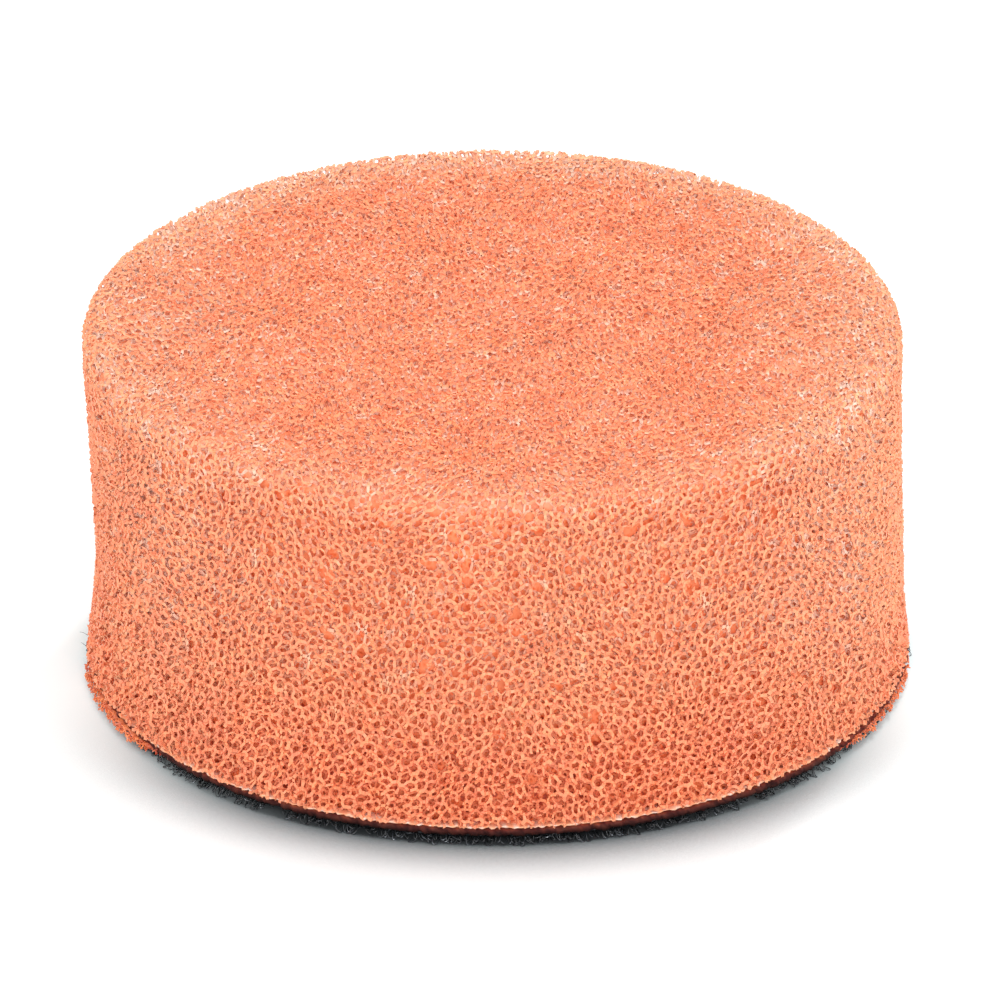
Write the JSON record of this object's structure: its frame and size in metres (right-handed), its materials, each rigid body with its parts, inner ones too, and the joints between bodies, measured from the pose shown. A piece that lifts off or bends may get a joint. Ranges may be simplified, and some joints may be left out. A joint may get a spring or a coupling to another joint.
{
  "type": "polishing pad",
  "caption": "Thick round open-cell foam polishing pad with a slightly hollow wall, a soft rounded face edge and a foam-backed loop cloth for a hook-faced backing plate.",
  "frame": {"origin": "centre of the loop face that the pad stands on", "axes": "+Z along the pad's own axis, from the loop face towards the polishing face; X and Y lie in the loop face and are interchangeable, because the pad is round"},
  "size_m": [0.076, 0.076, 0.0343],
  "materials": {
    "polishing_foam": "matte",
    "backing_foam": "matte",
    "glue_line": "satin",
    "ground_cloth": "matte",
    "nylon_loops": "satin"
  },
  "bodies": {
    "root": {"foam_body": "polishing_foam", "bond_layer": "glue_line", "backing_foam": "backing_foam", "loop_ground": "ground_cloth", "loop_pile": "nylon_loops"}
  },
  "joints": []
}
